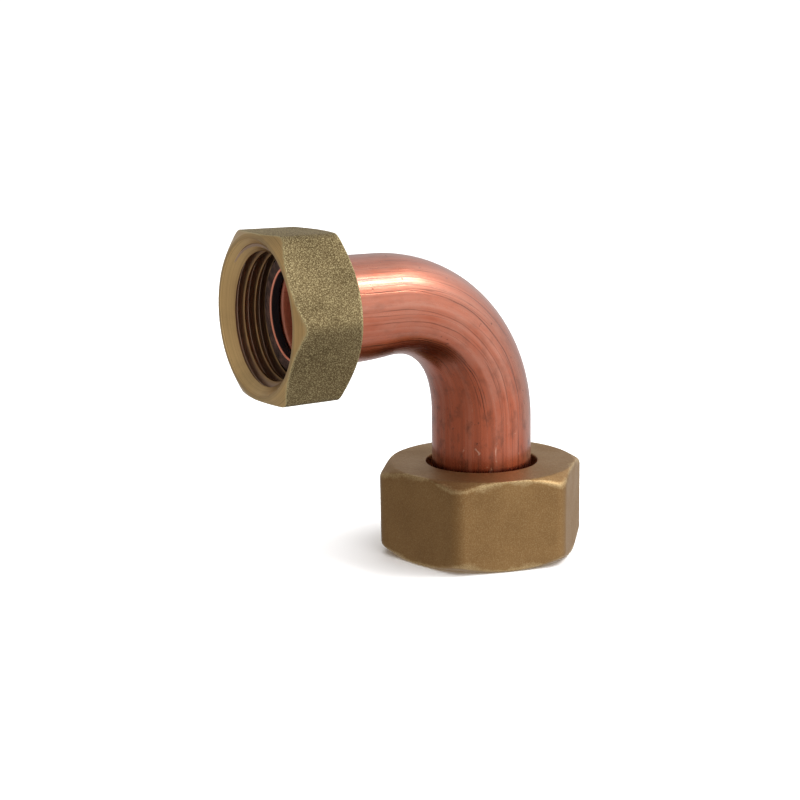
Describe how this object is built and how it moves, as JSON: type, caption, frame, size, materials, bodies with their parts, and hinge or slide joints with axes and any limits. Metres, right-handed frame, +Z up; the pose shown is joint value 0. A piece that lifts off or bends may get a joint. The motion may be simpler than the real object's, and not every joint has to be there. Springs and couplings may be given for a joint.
{
  "type": "swivel nut pipe elbow",
  "caption": "Short bent copper tube elbow with a loose hexagonal union nut and a flat sealing washer on each collared end, the lower end one thread size larger.",
  "frame": {"origin": "on the surface that the lower nut stands on, under the middle of the object's bounding box", "axes": "+Z up along the lower leg, -X along the upper leg out of the upper nut's mouth, Y across the plane of the bend"},
  "size_m": [0.056, 0.0332, 0.0529],
  "materials": {
    "copper": "drawn and bent copper, satin with lengthwise draw lines and a bright streak on the outside of the bend",
    "blasted_brass": "coarse shot-blasted olive-gold brass, bright turned chamfers and thread crests",
    "forged_brass": "fine satin brown-gold forged brass with bright worn chamfer edges",
    "washer": "dull near-black sealing ring"
  },
  "bodies": {
    "elbow": {"elbow_tube": "copper", "upper_sealing_washer": "washer", "lower_sealing_washer": "washer"},
    "upper_nut": {"upper_union_nut": "blasted_brass"},
    "lower_nut": {"lower_union_nut": "forged_brass"}
  },
  "joints": [
    {"name": "upper_nut_spin", "type": "hinge", "parent": "elbow", "child": "upper_nut", "pos_m": [-0.0226, 0, 0.0407], "axis": [-1, 0, 0], "continuous": true},
    {"name": "lower_nut_spin", "type": "hinge", "parent": "elbow", "child": "lower_nut", "pos_m": [0.01184, 0, 0.0071], "axis": [0, 0, -1], "continuous": true}
  ]
}
